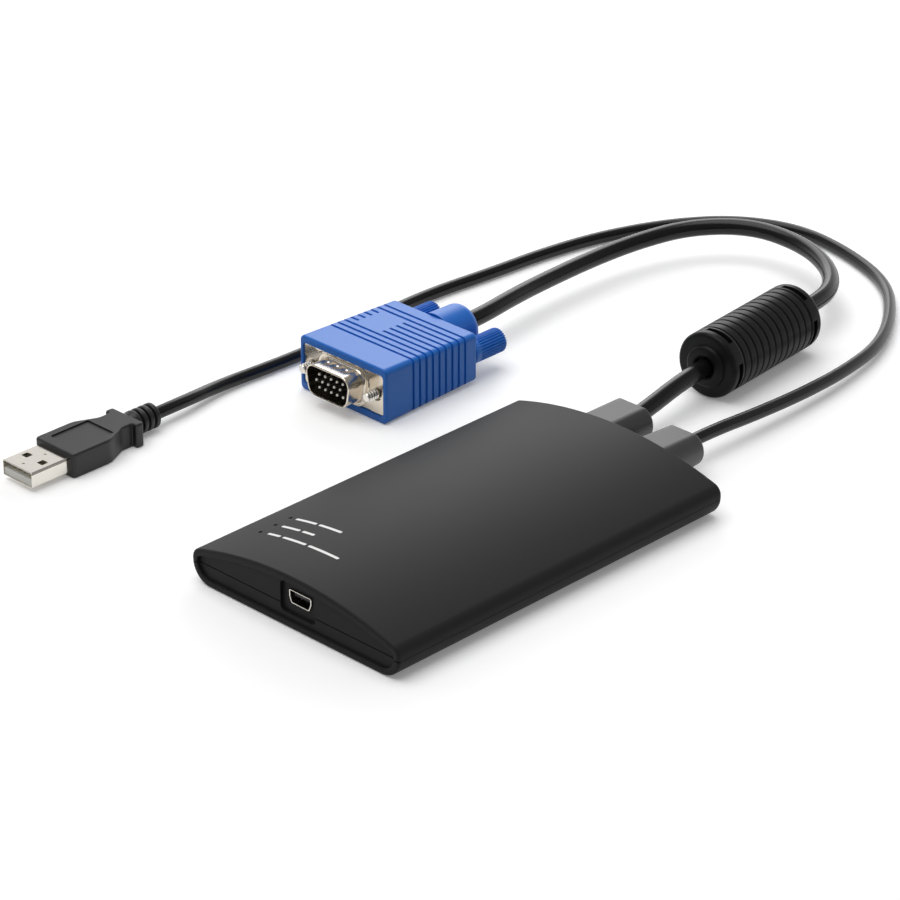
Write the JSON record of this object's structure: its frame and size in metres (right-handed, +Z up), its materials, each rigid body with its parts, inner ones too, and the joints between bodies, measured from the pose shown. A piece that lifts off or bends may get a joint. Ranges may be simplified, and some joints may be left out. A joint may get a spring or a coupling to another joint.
{
  "type": "crash cart adapter",
  "caption": "Flat crowned adapter box with a small data port at one end and captive video and data leads at the other, for working a server from a portable computer.",
  "frame": {"origin": "middle of the box's underside, on the surface that the box and both plugs lie on", "axes": "+Y along the box from the small port to the leads, +X to the right seen from the port end with the lights up, +Z up through the crowned top"},
  "size_m": [0.1513, 0.271, 0.0193],
  "materials": {
    "case_plastic": "fine matte moulding with a soft sheen",
    "board_laminate": "lacquered board",
    "chip_plastic": "fine matte moulding",
    "header_plastic": "plain moulded nylon",
    "lamp_resin": "cloudy clear resin",
    "wire_jacket": "smooth vinyl",
    "can_metal": "satin",
    "coil_ferrite": "fine ceramic",
    "plated_steel": "bright nickel plate with a soft polish",
    "screw_steel": "zinc plate",
    "contact_gold": "thin gold plate",
    "black_insulator": "fine matte moulding",
    "white_insulator": "plain moulded plastic",
    "boot_vinyl": "soft satin vinyl",
    "cord_jacket": "satin vinyl",
    "sleeve_vinyl": "soft satin vinyl",
    "hood_vinyl": "soft satin vinyl",
    "grip_vinyl": "satin vinyl"
  },
  "bodies": {
    "adapter": {"top_cover": "case_plastic", "bottom_cover": "case_plastic", "case_screws": "screw_steel", "circuit_board": "board_laminate", "port_shell": "plated_steel", "port_insulator": "black_insulator", "port_contacts": "contact_gold", "status_lights": "lamp_resin", "processor_chip": "chip_plastic", "sampler_chip": "chip_plastic", "memory_chip": "chip_plastic", "bridge_chip": "chip_plastic", "clock_crystals": "can_metal", "bulk_capacitors": "can_metal", "power_coils": "coil_ferrite", "voltage_regulators": "chip_plastic", "video_header": "header_plastic", "video_header_plug": "header_plastic", "video_wires": "wire_jacket", "data_header": "header_plastic", "data_header_plug": "header_plastic", "data_wires": "wire_jacket", "video_boot": "boot_vinyl", "data_boot": "boot_vinyl", "video_cable": "cord_jacket", "ferrite_sleeve": "sleeve_vinyl", "ferrite_core": "coil_ferrite", "video_hood": "hood_vinyl", "video_front_shell": "plated_steel", "video_rear_shell": "plated_steel", "video_insulator": "black_insulator", "video_pins": "contact_gold", "data_cable": "cord_jacket", "data_plug_grip": "grip_vinyl", "data_plug_shell": "plated_steel", "data_plug_tongue": "white_insulator", "data_plug_contacts": "contact_gold"},
    "left_thumbscrew": {"left_jackscrew": "plated_steel", "left_knob": "hood_vinyl"},
    "right_thumbscrew": {"right_jackscrew": "plated_steel", "right_knob": "hood_vinyl"}
  },
  "joints": [
    {"name": "left_thumbscrew_turn", "type": "hinge", "parent": "adapter", "child": "left_thumbscrew", "pos_m": [-0.0919, 0.0775, 0.00825], "axis": [0, 1, 0], "continuous": true},
    {"name": "right_thumbscrew_turn", "type": "hinge", "parent": "adapter", "child": "right_thumbscrew", "pos_m": [-0.0669, 0.0775, 0.00825], "axis": [0, 1, 0], "continuous": true}
  ]
}
